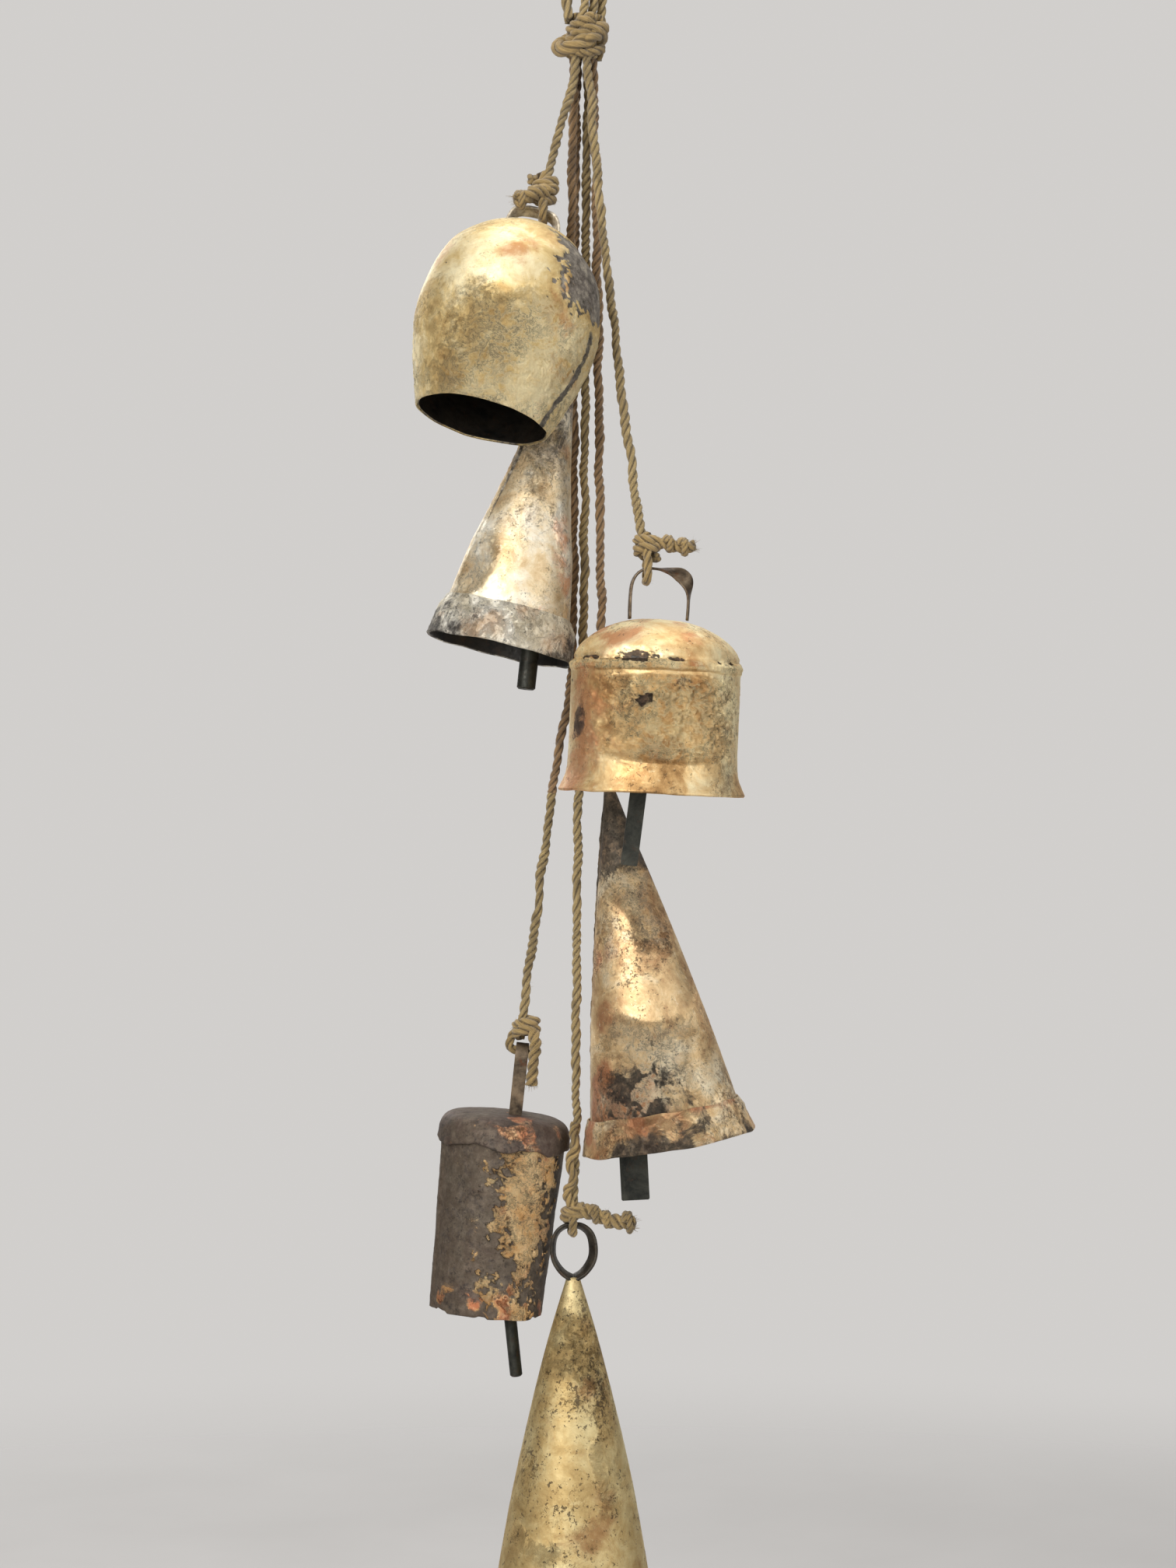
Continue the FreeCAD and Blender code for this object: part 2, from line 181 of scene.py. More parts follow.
# --- room ---------------------------------------------------------------------------------------
# What the metal mirrors is darker to both sides, but the backdrop that the camera sees is even.
BACKDROP = 0.66
world = bpy.data.worlds.new("studio")
world.use_nodes = True
sky = Graph(world.node_tree)
direction = sky.add("TexCoord")["Generated"]
sideways = sky.math("ABSOLUTE", sky.add("SeparateXYZ", {"Vector": direction})["X"])
seen = sky.times(sky.add("LightPath")["Is Camera Ray"], BACKDROP)
background = sky.tree.nodes["Background"]
background.inputs["Color"].default_value = (0.97, 0.945, 0.92, 1)
sky.link(sky.math("MAXIMUM", sky.step(sideways, 0.30, 0.95, BACKDROP, 0.16), seen), background.inputs["Strength"])
scene.world = world


# --- materials ----------------------------------------------------------------------------------
def patina(name, tones, steels, rough, mottle=0.6, pitting=0.5):
    """Beaten sheet with brass run over it: gold, copper bloom, brown mottling, pits and bare steel."""
    deep, middle_tone, gold, pale, copper, dark = [linear(*tone) for tone in tones]
    m = Nodes(name)
    bare, bloom, brazed = m.masks()
    broad = m.noise(19, 4, 0.5, 0.3)
    cloud = m.noise(75, 10, 0.7, 0.5)
    fine = m.noise(360, 8, 0.72)
    grit = m.noise(1050, 3, 0.6)
    cluster = m.noise(34, 3, 0.5)

    # brass in four tones, then copper, brown mottling, painted shade in the creases with a painted highlight on
    # their crests, and pale flecks
    tone = m.plus(m.times(cloud, 0.55), m.times(broad, 0.45))
    colour = m.ramp(tone, [(0.30, deep), (0.40, middle_tone), (0.48, gold), (0.60, pale)])
    blush = m.plus(m.times(bloom, 0.34), m.noise(52, 12, 0.72, 0.6))
    colour = m.mix(m.step(blush, 0.58, 0.82, 0, 0.8), colour, copper)
    brown = m.plus(m.noise(280, 12, 0.8, 0.4), m.times(cluster, 0.45))
    colour = m.mix(m.step(brown, 0.76, 0.85, 0, mottle), colour, deep)
    crease = m.math("ABSOLUTE", m.math("SUBTRACT", m.noise(120, 10, 0.7, 0.4), 0.5))
    # painted shade: dark lines along the creases of the brazed network
    crease_shade = m.times(m.step(crease, 0.0, 0.03, 1, 0), m.times(brazed, m.step(cluster, 0.30, 0.54)))
    # painted highlight: a pale rim along each crease, so that the relief looks lit
    crest_highlight = m.times(m.step(crease, 0.02, 0.09, 1, 0), m.step(brazed, 0.6, 1.0, 0, 0.6))
    colour = m.mix(crest_highlight, colour, pale)
    colour = m.mix(m.times(crease_shade, 0.62), colour, dark)
    colour = m.mix(m.step(m.noise(210, 10, 0.75, 0.3), 0.58, 0.68, 0, 0.55), colour, pale)

    # bare steel where the mask says so, and pits
    stain = m.plus(m.times(bare, 0.42), m.noise(85, 12, 0.78, 0.9))
    stained = m.step(stain, 0.66, 0.80)
    steel = m.ramp(m.noise(240, 8, 0.75), steels)
    colour = m.mix(m.times(stained, 0.94), colour, steel)
    pit_at = m.plus(m.times(grit, 0.55), m.times(m.noise(300, 2, 0.5), 0.45))
    pit_at = m.plus(pit_at, m.times(cluster, 0.3))
    pits = m.step(pit_at, 0.75 - 0.04 * pitting, 0.79 - 0.04 * pitting, 0, pitting)
    m.link(m.mix(pits, colour, dark), m.shader.inputs["Base Color"])

    dull = m.math("MAXIMUM", m.times(stained, 0.55), m.times(pits, 0.8))
    m.link(m.step(dull, 0, 1, 0.9, 0.25), m.shader.inputs["Metallic"])
    matt = m.plus(m.step(fine, 0.3, 0.7, rough + 0.06, rough + 0.18), m.times(dull, 0.2))
    m.link(m.math("ADD", matt, m.times(brazed, 0.06), clamp=True), m.shader.inputs["Roughness"])

    sunk = m.plus(m.times(pits, 0.8), m.times(stained, 0.3))
    relief = m.math("SUBTRACT", m.times(grit, 0.35), sunk)
    network = m.times(m.plus(m.step(crease, 0.0, 0.07, 0, 0.6), fine), m.step(brazed, 0.4, 0.9))
    m.bump([(network, 1.0, 0.0032), (relief, 0.7, 0.0003)])
    return m.material


def jute(name, tone, shade):
    m = Nodes(name)
    along = m.add("UVMap", uv_map="lay")["UV"]
    fibres = m.noise(1.0, 6, 0.7, 0.5, m.add("Mapping", {"Vector": along, "Scale": (2.4, 34, 1)})["Vector"])
    streaks = m.noise(70, 6, 0.6, 0.4)
    sunlit = tuple(min(1, channel * 1.65) for channel in tone[:3]) + (1,)
    colour = m.ramp(fibres, [(0.30, shade), (0.5, tone), (0.72, sunlit)])
    colour = m.mix(m.step(streaks, 0.42, 0.66, 0, 0.55), colour, shade)
    # painted shade: darker in the hollows between the plies
    colour = m.mix(m.step(m.painted("ply_shade"), 0.15, 0.75, 0.8, 0), colour, linear(38, 25, 12))
    m.link(colour, m.shader.inputs["Base Color"])
    m.link(m.step(fibres, 0.3, 0.7, 0.95, 0.8), m.shader.inputs["Roughness"])
    m.shader.inputs["Specular IOR Level"].default_value = 0.25
    m.shader.inputs["Sheen Weight"].default_value = 0.25
    m.shader.inputs["Sheen Roughness"].default_value = 0.6
    m.bump([(fibres, 0.7, 0.0004)])
    return m.material


def dark_steel(name, dark, light, rust, metallic=0.75, scale=1.0):
    m = Nodes(name)
    cloud = m.noise(120 * scale, 8, 0.7, 0.4)
    fine = m.noise(700 * scale, 6, 0.7)
    colour = m.ramp(cloud, [(0.36, linear(*dark)), (0.62, linear(*light))])
    colour = m.mix(m.step(m.noise(210 * scale, 8, 0.72), 0.54, 0.66, 0, 0.8), colour, linear(*rust))
    m.link(colour, m.shader.inputs["Base Color"])
    m.shader.inputs["Metallic"].default_value = metallic
    m.link(m.step(fine, 0.3, 0.7, 0.36, 0.62), m.shader.inputs["Roughness"])
    m.bump([(cloud, 0.3, 0.0005), (fine, 0.4, 0.00015)])
    return m.material


def stops(*tones):
    """A bare steel ramp from its darkest tone to its lightest."""
    return [(0.36 + 0.3 * i / (len(tones) - 1), linear(*tone)) for i, tone in enumerate(tones)]


# The six tones are deep, middle, gold, pale, copper and dark, and the next three are bare steel.
gold_skin = patina(
    "gold_patina",
    [(150, 118, 68), (190, 160, 106), (216, 192, 138), (242, 230, 192), (184, 128, 80), (44, 34, 24)],
    stops((46, 44, 44), (116, 110, 104), (170, 162, 146)), 0.43, 0.35, 0.3)
rose_skin = patina(
    "rose_patina",
    [(142, 108, 72), (206, 176, 132), (232, 213, 176), (250, 245, 230), (212, 150, 106), (42, 36, 32)],
    stops((34, 32, 30), (110, 104, 96), (214, 204, 186)), 0.42, 0.35, 0.45)
rim_skin = patina(
    "rim_patina",
    [(116, 104, 86), (180, 168, 144), (220, 211, 188), (250, 246, 234), (196, 164, 130), (38, 34, 31)],
    stops((30, 28, 27), (110, 105, 98), (226, 220, 206)), 0.42, 0.45, 0.6)
dusk_skin = patina(
    "dusk_patina",
    [(122, 90, 62), (192, 156, 114), (224, 196, 150), (247, 234, 204), (180, 120, 86), (38, 32, 29)],
    stops((34, 31, 28), (80, 72, 63), (140, 118, 94)), 0.43, 0.5, 0.55)
dome_skin = patina(
    "dome_patina",
    [(132, 96, 58), (196, 158, 106), (224, 194, 142), (246, 232, 190), (206, 144, 100), (38, 26, 20)],
    stops((22, 17, 15), (62, 48, 42), (120, 98, 82)), 0.42, 0.5)
cone_skin = patina(
    "cone_patina",
    [(98, 78, 46), (164, 138, 92), (188, 164, 114), (212, 196, 150), (148, 110, 72), (58, 45, 30)],
    stops((46, 40, 32), (90, 78, 60), (150, 130, 96)), 0.50, 0.65, 0.75)
ash_skin = patina(
    "ash_patina",
    [(88, 60, 42), (180, 134, 88), (216, 174, 118), (240, 216, 170), (176, 102, 76), (42, 37, 34)],
    stops((52, 47, 44), (76, 69, 63), (102, 93, 84)), 0.42, 0.8)
# painted shade: the insides of the bells are near black, darker than their bare steel outside, so that their
# mouths look shaded
shaded_inside_skin = dark_steel("bell_inside_shaded", (16, 16, 14), (44, 38, 30), (58, 40, 26), 0.3)
strip_metal = dark_steel("strip_metal", (52, 44, 36), (122, 106, 86), (92, 58, 38), 0.8)
bridge_metal = dark_steel("bridge_metal", (128, 118, 102), (214, 204, 184), (120, 92, 64), 0.35, 2.0)
wire_metal = dark_steel("wire_metal", (30, 27, 24), (74, 68, 58), (66, 46, 32), 0.6, 1.6)
clapper_iron = dark_steel("clapper_iron", (26, 28, 24), (64, 64, 56), (60, 46, 34), 0.55)
cord_jute = jute("cord_jute", linear(148, 128, 86), linear(82, 68, 42))
# a browner jute that is also darker, as painted shade, for cords 2 and 4 and the upper part of cord 5
brown_shaded_jute = jute("brown_shaded_jute", linear(138, 110, 76), linear(74, 56, 36))
knot_jute = jute("knot_jute", linear(150, 126, 80), linear(76, 62, 34))


# --- mesh helpers -------------------------------------------------------------------------------
def add_mesh(name, points, faces, materials, matrix=None, indices=None):
    """A mesh object from points in millimetres, which matrix brings to their place."""
    data = bpy.data.meshes.new(name)
    matrix = matrix or Matrix.Identity(4)
    data.from_pydata([(matrix @ Vector(p)) * MM for p in points], [], faces)
    for material in materials:
        data.materials.append(material)
    if indices:
        data.polygons.foreach_set("material_index", indices)
    data.polygons.foreach_set("use_smooth", [True] * len(data.polygons))
    data.update()
    piece = bpy.data.objects.new(name, data)
    scene.collection.objects.link(piece)
    return piece


def set_colours(piece, name, colours):
    layer = piece.data.color_attributes.new(name, "FLOAT_COLOR", "POINT")
    layer.data.foreach_set("color", [channel for colour in colours for channel in colour])


def smooth_line(points, resolution=14):
    """The points of the NURBS line whose control points are given, in millimetres."""
    data = bpy.data.curves.new("line", "CURVE")
    data.dimensions = "3D"
    data.resolution_u = resolution
    spline = data.splines.new("NURBS")
    spline.points.add(len(points) - 1)
    for control, point in zip(spline.points, points):
        control.co = (*point, 1)
    spline.order_u = 3
    spline.use_endpoint_u = True
    holder = bpy.data.objects.new("line", data)
    scene.collection.objects.link(holder)
    mesh = bpy.data.meshes.new_from_object(holder)
    line = [v.co.copy() for v in mesh.vertices]
    bpy.data.objects.remove(holder)
    bpy.data.curves.remove(data)
    bpy.data.meshes.remove(mesh)
    return line


def spaced(line, gap):
    """The same line with its points gap apart."""
    out, carried = [line[0].copy()], 0.0
    for a, b in zip(line, line[1:]):
        length = (b - a).length
        if length < 1e-9:
            continue
        at = gap - carried
        while at <= length:
            out.append(a.lerp(b, at / length))
            at += gap
        carried = length - (at - gap)
    if (out[-1] - line[-1]).length > 0.3 * gap:
        out.append(line[-1].copy())
    return out


def line_length(line):
    return sum((b - a).length for a, b in zip(line, line[1:]))


class RopeMesh:
    """Laid rope: one tube whose section has a lobe for each ply, and loose fibres round it."""

    def __init__(self):
        self.points, self.faces, self.uv, self.ply_shade = [], [], [], []

    def add(self, line, radius, pitch=13.5, plies=3, sides=21, fuzz=10, seed=0, phase=0.0):
        """One rope along a line. fuzz is how many loose fibres there are to a centimetre."""
        gap = 0.8
        line = spaced(line, gap)
        count = len(line)
        directions = []
        for i in range(count):
            directions.append((line[min(i + 1, count - 1)] - line[max(i - 1, 0)]).normalized())
        up = Vector((0, 0, 1)) if abs(directions[0].z) < 0.9 else Vector((1, 0, 0))
        side = directions[0].cross(up).normalized()
        first = len(self.points)
        travelled = 0.0
        offset, ply = radius * 0.49, radius * 0.51
        hairs = []
        for i in range(count):
            if i:
                travelled += (line[i] - line[i - 1]).length
                turn = directions[i - 1].rotation_difference(directions[i])
                side = turn @ side
            side = (side - directions[i] * side.dot(directions[i])).normalized()
            other = directions[i].cross(side)
            swell = 1.0 + 0.22 * noise.noise(Vector((travelled * 0.13, seed * 7.3, 1.7)))
            uneven = 2.6 * noise.noise(Vector((travelled * 0.045, seed * 3.1, 8.2)))
            twist = 2 * math.pi * travelled / pitch + phase + uneven
            waver = side * noise.noise(Vector((travelled * 0.07, seed * 2.3, 4)))
            waver += other * noise.noise(Vector((travelled * 0.07, seed, 9)))
            waver *= 0.55 * radius * min(1, i / 12, (count - 1 - i) / 12)
            for k in range(sides):
                angle = 2 * math.pi * k / sides
                around = (angle - twist) % (2 * math.pi / plies) - math.pi / plies
                lobe = max(0, ply ** 2 - (offset * math.sin(around)) ** 2)
                reach = offset * math.cos(around) + math.sqrt(lobe)
                depth = (reach / radius - 0.5) * 2
                grain = 0.05 * noise.noise(Vector((travelled * 1.3, angle * 6 + twist * 2, seed)))
                r = reach * swell * (1 + grain)
                normal = side * math.cos(angle) + other * math.sin(angle)
                self.points.append(line[i] + normal * r + waver)
                self.uv.append((travelled / pitch, (angle - twist) / (2 * math.pi)))
                # how far out the ply reaches here, about 0 between plies and 1 on a ply's crown; the jute paints
                # shade where it is low
                shade = max(0.0, min(1.0, depth))
                self.ply_shade.append((shade, shade, shade, 1))
                if rng.random() < fuzz * gap / 10 / sides:
                    hairs.append((line[i] + normal * r * 0.9, normal, directions[i], other))
        for i in range(count - 1):
            for k in range(sides):
                a, b = first + i * sides + k, first + i * sides + (k + 1) % sides
                self.faces.append((a, b, b + sides, a + sides))
        for ring, flip in ((0, True), (count - 1, False)):
            start = first + ring * sides
            centre = len(self.points)
            self.points.append(line[ring] + directions[ring] * (-0.5 if flip else 0.5) * radius * 0.5)
            self.uv.append((travelled / pitch, 0.5))
            self.ply_shade.append((0.4, 0.4, 0.4, 1))
            for k in range(sides):
                a, b = start + k, start + (k + 1) % sides
                self.faces.append((b, a, centre) if flip else (a, b, centre))
        for root, normal, along, across in hairs:
            self.hair(root, normal, along, across, rng.uniform(0.7, 1.9))
        return self

    def hair(self, root, normal, along, across, length, width=0.05):
        lean = (along * rng.uniform(-1.5, 1.5) + across * rng.uniform(-0.8, 0.8) + normal).normalized()
        curl = across * rng.uniform(-0.5, 0.5) + along * rng.uniform(-0.5, 0.5)
        first = len(self.points)
        wide = lean.cross(normal + across * 0.3).normalized() * width
        for step in range(4):
            t = step / 3
            centre = root + lean * length * t + curl * length * t * t * 0.6
            for sign in (-1, 1):
                self.points.append(centre + wide * sign * (1 - 0.7 * t))
                self.uv.append((t * 0.3, rng.random()))
                self.ply_shade.append((1, 1, 1, 1))
        for step in range(3):
            a = first + 2 * step
            self.faces.append((a, a + 1, a + 3, a + 2))

    def frayed_end(self, tip, direction, radius):
        side = direction.orthogonal().normalized()
        other = direction.cross(side)
        for _ in range(34):
            angle, out = rng.uniform(0, 2 * math.pi), radius * math.sqrt(rng.random()) * 0.85
            outward = side * math.cos(angle) + other * math.sin(angle)
            root = tip + outward * out - direction * 0.6
            lean = (direction + outward * rng.uniform(0, 0.7)).normalized()
            self.hair(root, lean, direction, outward.cross(direction), 3.4 * rng.uniform(0.5, 1.0), 0.09)

    def piece(self, name, material, matrix=None):
        obj = add_mesh(name, self.points, self.faces, [material], matrix)
        layer = obj.data.uv_layers.new(name="lay")
        corners = [0] * len(obj.data.loops)
        obj.data.loops.foreach_get("vertex_index", corners)
        layer.data.foreach_set("uv", [value for corner in corners for value in self.uv[corner]])
        set_colours(obj, "ply_shade", self.ply_shade)
        return obj


# --- bells --------------------------------------------------------------------------------------
BELLS = {
    1: dict(hang=(-15.4, -18, -148.0), swing=13.8, lean=11.5, offset=-3.3, crown=-3.4),
    2: dict(hang=(-3.5, 11, -194.3), swing=12.9, lean=3.5, offset=0, crown=-12.8),
    3: dict(hang=(28.5, -24, -300.3), swing=2.5, lean=0, offset=5.6, crown=-16.0),
    4: dict(hang=(10.0, 18, -371.1), swing=-9.6, lean=1, offset=0, crown=-15.8),
    5: dict(hang=(-24.9, 18, -501.6), swing=6, lean=0, offset=-3.9, crown=-27.4),
    6: dict(hang=(-2.7, 5, -578.7), swing=0, lean=0, offset=0, crown=-19.4),
}
SHEET = 1.2


def turn(axis, degrees):
    return Matrix.Rotation(math.radians(degrees), 4, axis)


def knot_place(number):
    """From an end knot's own axes, with the strand in the hanger along Y, to the frame."""
    spec = BELLS[number]
    upright = turn("Y", spec["swing"]) if number == 5 else turn("X", -spec["lean"])
    return Matrix.Translation(spec["hang"]) @ upright


def bell_place(number):
    """From a bell's own axes, with the crown at the origin, to the frame."""
    spec = BELLS[number]
    tipped = turn("X", -spec["lean"]) if number == 5 else turn("Y", spec["swing"])
    return knot_place(number) @ tipped @ Matrix.Translation((spec["offset"], 0, spec["crown"]))


def through(points, count):
    """A smooth line through a profile's points, as count + 1 evenly spaced points."""
    dense = []
    for i in range(len(points) - 1):
        p0 = Vector(points[max(i - 1, 0)])
        p1, p2 = Vector(points[i]), Vector(points[i + 1])
        p3 = Vector(points[min(i + 2, len(points) - 1)])
        scale = (p2 - p1).length
        m1 = (p2 - p0).normalized() * scale
        m2 = (p3 - p1).normalized() * scale
        for step in range(24):
            t = step / 24
            dense.append(p1 * (2 * t ** 3 - 3 * t ** 2 + 1) + m1 * (t ** 3 - 2 * t ** 2 + t)
                         + p2 * (-2 * t ** 3 + 3 * t ** 2) + m2 * (t ** 3 - t ** 2))
    dense.append(Vector(points[-1]))
    total = line_length(dense)
    line = spaced(dense, total / count)
    return line[:count] + [dense[-1]]


def straight(points, count):
    """The same, with a corner at each of the profile's points."""
    dense = [Vector(p) for p in points]
    total = line_length(dense)
    line = spaced(dense, total / count)
    return line[:count] + [dense[-1]]


def bell_skin(name, profile, shape, skin, number, closed=True, sides=200):
    """Beaten sheet turned from a profile. At each place, shape gives how far the sheet is pushed out,
    how far it is moved up, and the masks (bare steel, copper, brazed roughness)."""
    rows = len(profile)
    points, masks, faces, indices = [], [], [], []
    outer, inner = [], []
    normals = []
    for i in range(rows):
        d = profile[min(i + 1, rows - 1)] - profile[max(i - 1, 0)]
        normals.append(Vector((-d.y, d.x)).normalized())
    for i, (r, z) in enumerate(profile):
        outer.append(len(points))
        ring_inner = []
        for k in range(sides):
            angle = 2 * math.pi * k / sides
            c, s = math.cos(angle), math.sin(angle)
            base = Vector((max(r, 0.05) * c, max(r, 0.05) * s, z))
            push, drop, mask = shape(base, math.degrees(angle))
            n = Vector((normals[i].x * c, normals[i].x * s, normals[i].y))
            at = base + n * push + Vector((0, 0, drop))
            points.append(at)
            masks.append((*mask, 1))
            inside = base + n * (0.35 * push - SHEET) + Vector((0, 0, drop))
            if r < SHEET * 1.5:
                inside = Vector((at.x * 0.3, at.y * 0.3, at.z - SHEET * 1.3))
            ring_inner.append(inside)
        inner.append(ring_inner)
    inner_start = []
    for ring in inner:
        inner_start.append(len(points))
        points.extend(ring)
        masks.extend([(0.6, 0, 0, 1)] * sides)

    def band(a, b, material, flip=False):
        for k in range(sides):
            k2 = (k + 1) % sides
            quad = (a + k, b + k, b + k2, a + k2)
            faces.append(quad[::-1] if flip else quad)
            indices.append(material)

    for i in range(rows - 1):
        band(outer[i], outer[i + 1], 0)
        band(inner_start[i], inner_start[i + 1], 1, True)

    def lip(a, b, out, flip):
        middle_ring = len(points)
        for k in range(sides):
            centre = (points[a + k] + points[b + k]) / 2 + out
            points.append(centre)
            masks.append(masks[a + k])
        band(a, middle_ring, 0, flip)
        band(middle_ring, b, 0, flip)

    lip(outer[-1], inner_start[-1], Vector((0, 0, -0.45)), False)
    if closed:
        for start, material, flip in ((outer[0], 0, False), (inner_start[0], 1, True)):
            centre = len(points)
            ring = points[start:start + sides]
            points.append(sum(ring, Vector()) / sides)
            masks.append(masks[start])
            for k in range(sides):
                tri = (start + k, start + (k + 1) % sides, centre)
                faces.append(tri[::-1] if flip else tri)
                indices.append(material)
    else:
        lip(outer[0], inner_start[0], Vector((0, 0, 0.4)), True)
    obj = add_mesh(name, points, faces, [skin, shaded_inside_skin], bell_place(number), indices)
    set_colours(obj, "mask", masks)
    return obj


def rough(p, size, seed):
    return noise.noise(Vector((p.x / size + seed * 13.1, p.y / size - seed * 5.7, p.z / size)))


def crumpled(p, size, seed, octaves=4):
    at = Vector((p.x / size + seed * 9.3, p.y / size + seed * 4.1, p.z / size))
    return noise.fractal(at, 0.7, 2.1, octaves)


def ridges(p, size, seed):
    """Thin wandering ridges, from 0 to 1."""
    value = abs(crumpled(p, size, seed, 3))
    return max(0.0, 1.0 - value * 3.2) ** 2


def dents(p, size, seed):
    """Shallow round hammer marks."""
    distance = noise.voronoi(Vector((p.x / size + seed * 3.3, p.y / size, p.z / size)))[0][0]
    return -max(0.0, 0.7 - distance) ** 2


def near_angle(angle, centre, width):
    """1 at a direction round the bell, falling to 0 at width degrees from it."""
    gap = abs((angle - centre + 180) % 360 - 180)
    return max(0.0, 1.0 - gap / width)


def soft(value, low, high):
    t = max(0.0, min(1.0, (value - low) / (high - low)))
    return t * t * (3 - 2 * t)


# Directions round a bell: 0 is its right side, 270 faces the viewer and 180 is its left side.
def egg_shape(p, angle):
    low = soft(-p.z + 8 * rough(p, 15, 15), 26, 56)
    push = 0.7 * rough(p, 26, 1) + 0.12 * rough(p, 9, 2)
    crust = ridges(p, 5.0, 3) * 0.5 + 0.3 * crumpled(p, 2.4, 4)
    brazed = low * (1 - 0.7 * near_angle(angle, 222, 62) * (1 - 0.5 * soft(-p.z, 60, 84)))
    rim = soft(-p.z, 82, 87.8)
    push += crust * (0.08 + 0.8 * brazed) * (1 - 0.9 * rim)
    torn = near_angle(angle, 338, 50) * soft(-p.z, 3, 12) * (1 - soft(-p.z, 32, 46))
    torn_edge = soft(torn + 0.3 * crumpled(p, 4.5, 6), 0.30, 0.36)
    push -= 0.6 * torn_edge
    ragged = torn_edge * (1 - soft(torn + 0.3 * crumpled(p, 4.5, 6), 0.40, 0.56))
    strip_line = 352 + 4 * rough(p, 14, 8) - 0.1 * (-p.z - 45)
    strip = soft(near_angle(angle, strip_line, 13), 0.28, 0.5) * soft(-p.z, 38, 50)
    push += strip * (0.55 + 0.2 * crumpled(p, 3, 9)) - 0.3 * soft(-p.z, 60, 80) * near_angle(angle, 340, 90)
    drop = rim * 0.6 * rough(p, 12, 10)
    bare = 0.9 * torn_edge + 0.4 * ragged + 0.3 * rim
    bare += 0.8 * soft(near_angle(angle, strip_line - 11, 6), 0.2, 0.7) * soft(-p.z, 38, 50)
    bare += 0.4 * near_angle(angle, 90, 70) * soft(rough(p, 16, 12), 0, 0.5)
    bare += 0.55 * (1 - soft(-p.z, 3, 15)) * soft(crumpled(p, 12, 14) + 0.15, 0, 0.5)
    bloom = 0.25 * near_angle(angle, 315, 60) * soft(-p.z, 4, 20) + 0.4 * soft(rough(p, 18, 13), 0.1, 0.6)
    bloom += 0.4 * near_angle(angle, 300, 60) * (1 - soft(-p.z, 8, 24))
    return push, drop, (min(1, bare), min(1, bloom), min(1, 0.15 + 0.85 * brazed))


def cone_shape(seed, length, seam_at, neck, stain_at=None, blush_at=300, swell=0.3, grain=0.4, tuck=0.0):
    """A rolled cone. Bare steel shows above the rim at stain_at, and copper at blush_at. tuck draws
    its top in, away from the bell beside it."""
    def shape(p, angle):
        depth = -p.z
        long_p = Vector((p.x, p.y, p.z * 0.35))
        push = swell * rough(long_p, 20, seed) + 0.18 * swell * rough(long_p, 9, seed + 1)
        push *= soft(depth, 2, 24)
        push += 0.035 * crumpled(p, 3.4, seed + 2) + 0.06 * ridges(p, 8, seed + 3) * soft(depth, 15, 60)
        radius = max(6.0, math.hypot(p.x, p.y))
        line = seam_at + 70 * rough(p, 22, seed + 4) / radius
        width = 130 / radius
        seam = soft(near_angle(angle, line, width * 1.6), 0.35, 0.6)
        push += seam * (0.7 + 0.3 * crumpled(p, 3, seed + 5)) * soft(depth, 6, 18)
        push -= tuck * soft(depth, 4, 12) * (1 - soft(depth, 66, 84))
        drop = 0.7 * rough(p, 12, seed + 6) * soft(depth, length - 4, length)
        edge = soft(near_angle(angle, line, width * 2.2), 0.3, 0.55) - 0.7 * seam
        bare = neck * (1 - soft(depth + 14 * rough(p, 14, seed + 12), 24, 56))
        bare += 0.8 * max(0, edge) * (1 - soft(depth, 60, 110))
        bare += 0.35 * near_angle(angle, 90, 80) * soft(rough(p, 20, seed + 8), 0, 0.5)
        bloom = 0.6 * near_angle(angle, blush_at, 75) * soft(rough(p, 17, seed + 7) + 0.25, 0.1, 0.6)
        brazed = grain + 0.4 * soft(rough(p, 24, seed + 9), 0, 0.5)
        if stain_at is not None:
            low = soft(depth, length - 42, length - 16)
            patches = soft(crumpled(p, 8, seed + 10) + 0.4, 0, 0.5)
            bare += 0.95 * near_angle(angle, stain_at, 68) ** 0.7 * low * patches
            bloom += 0.8 * near_angle(angle, stain_at - 25, 60) * low
            brazed += 0.6 * low * near_angle(angle, stain_at, 60)
            push += 0.5 * low * near_angle(angle, stain_at, 80) * crumpled(p, 4, seed + 11)
        return push, drop, (min(1, bare), min(1, bloom), min(1, brazed))
    return shape


def band_shape(seed, top, mouth, dark_sides, bloom_base):
    """A rim band, with bare steel towards dark_sides."""
    def shape(p, angle):
        push = 0.2 * rough(p, 12, seed) + 0.1 * crumpled(p, 3, seed + 1) + 0.15 * ridges(p, 6, seed + 2)
        depth = -p.z
        push -= 1.1 * (1 - soft(depth, top, top + 5)) * (1 + 0.6 * rough(p, 11, seed + 8))
        drop = 0.8 * rough(p, 13, seed + 3) * soft(depth, mouth - 5, mouth)
        drop += 0.9 * rough(p, 9, seed + 4) * (1 - soft(depth, top, top + 4))
        bare = 0.12 + 0.25 * soft(depth, mouth - 4, mouth) + 0.3 * soft(rough(p, 8, seed + 5), 0, 0.5)
        bare += 0.75 * sum(near_angle(angle, side, 46) for side in dark_sides) * soft(depth, top + 1, mouth - 3)
        bloom = bloom_base + 0.5 * soft(rough(p, 12, seed + 6), 0.05, 0.5)
        return push, drop, (min(1, bare), min(1, bloom), 0.6)
    return shape


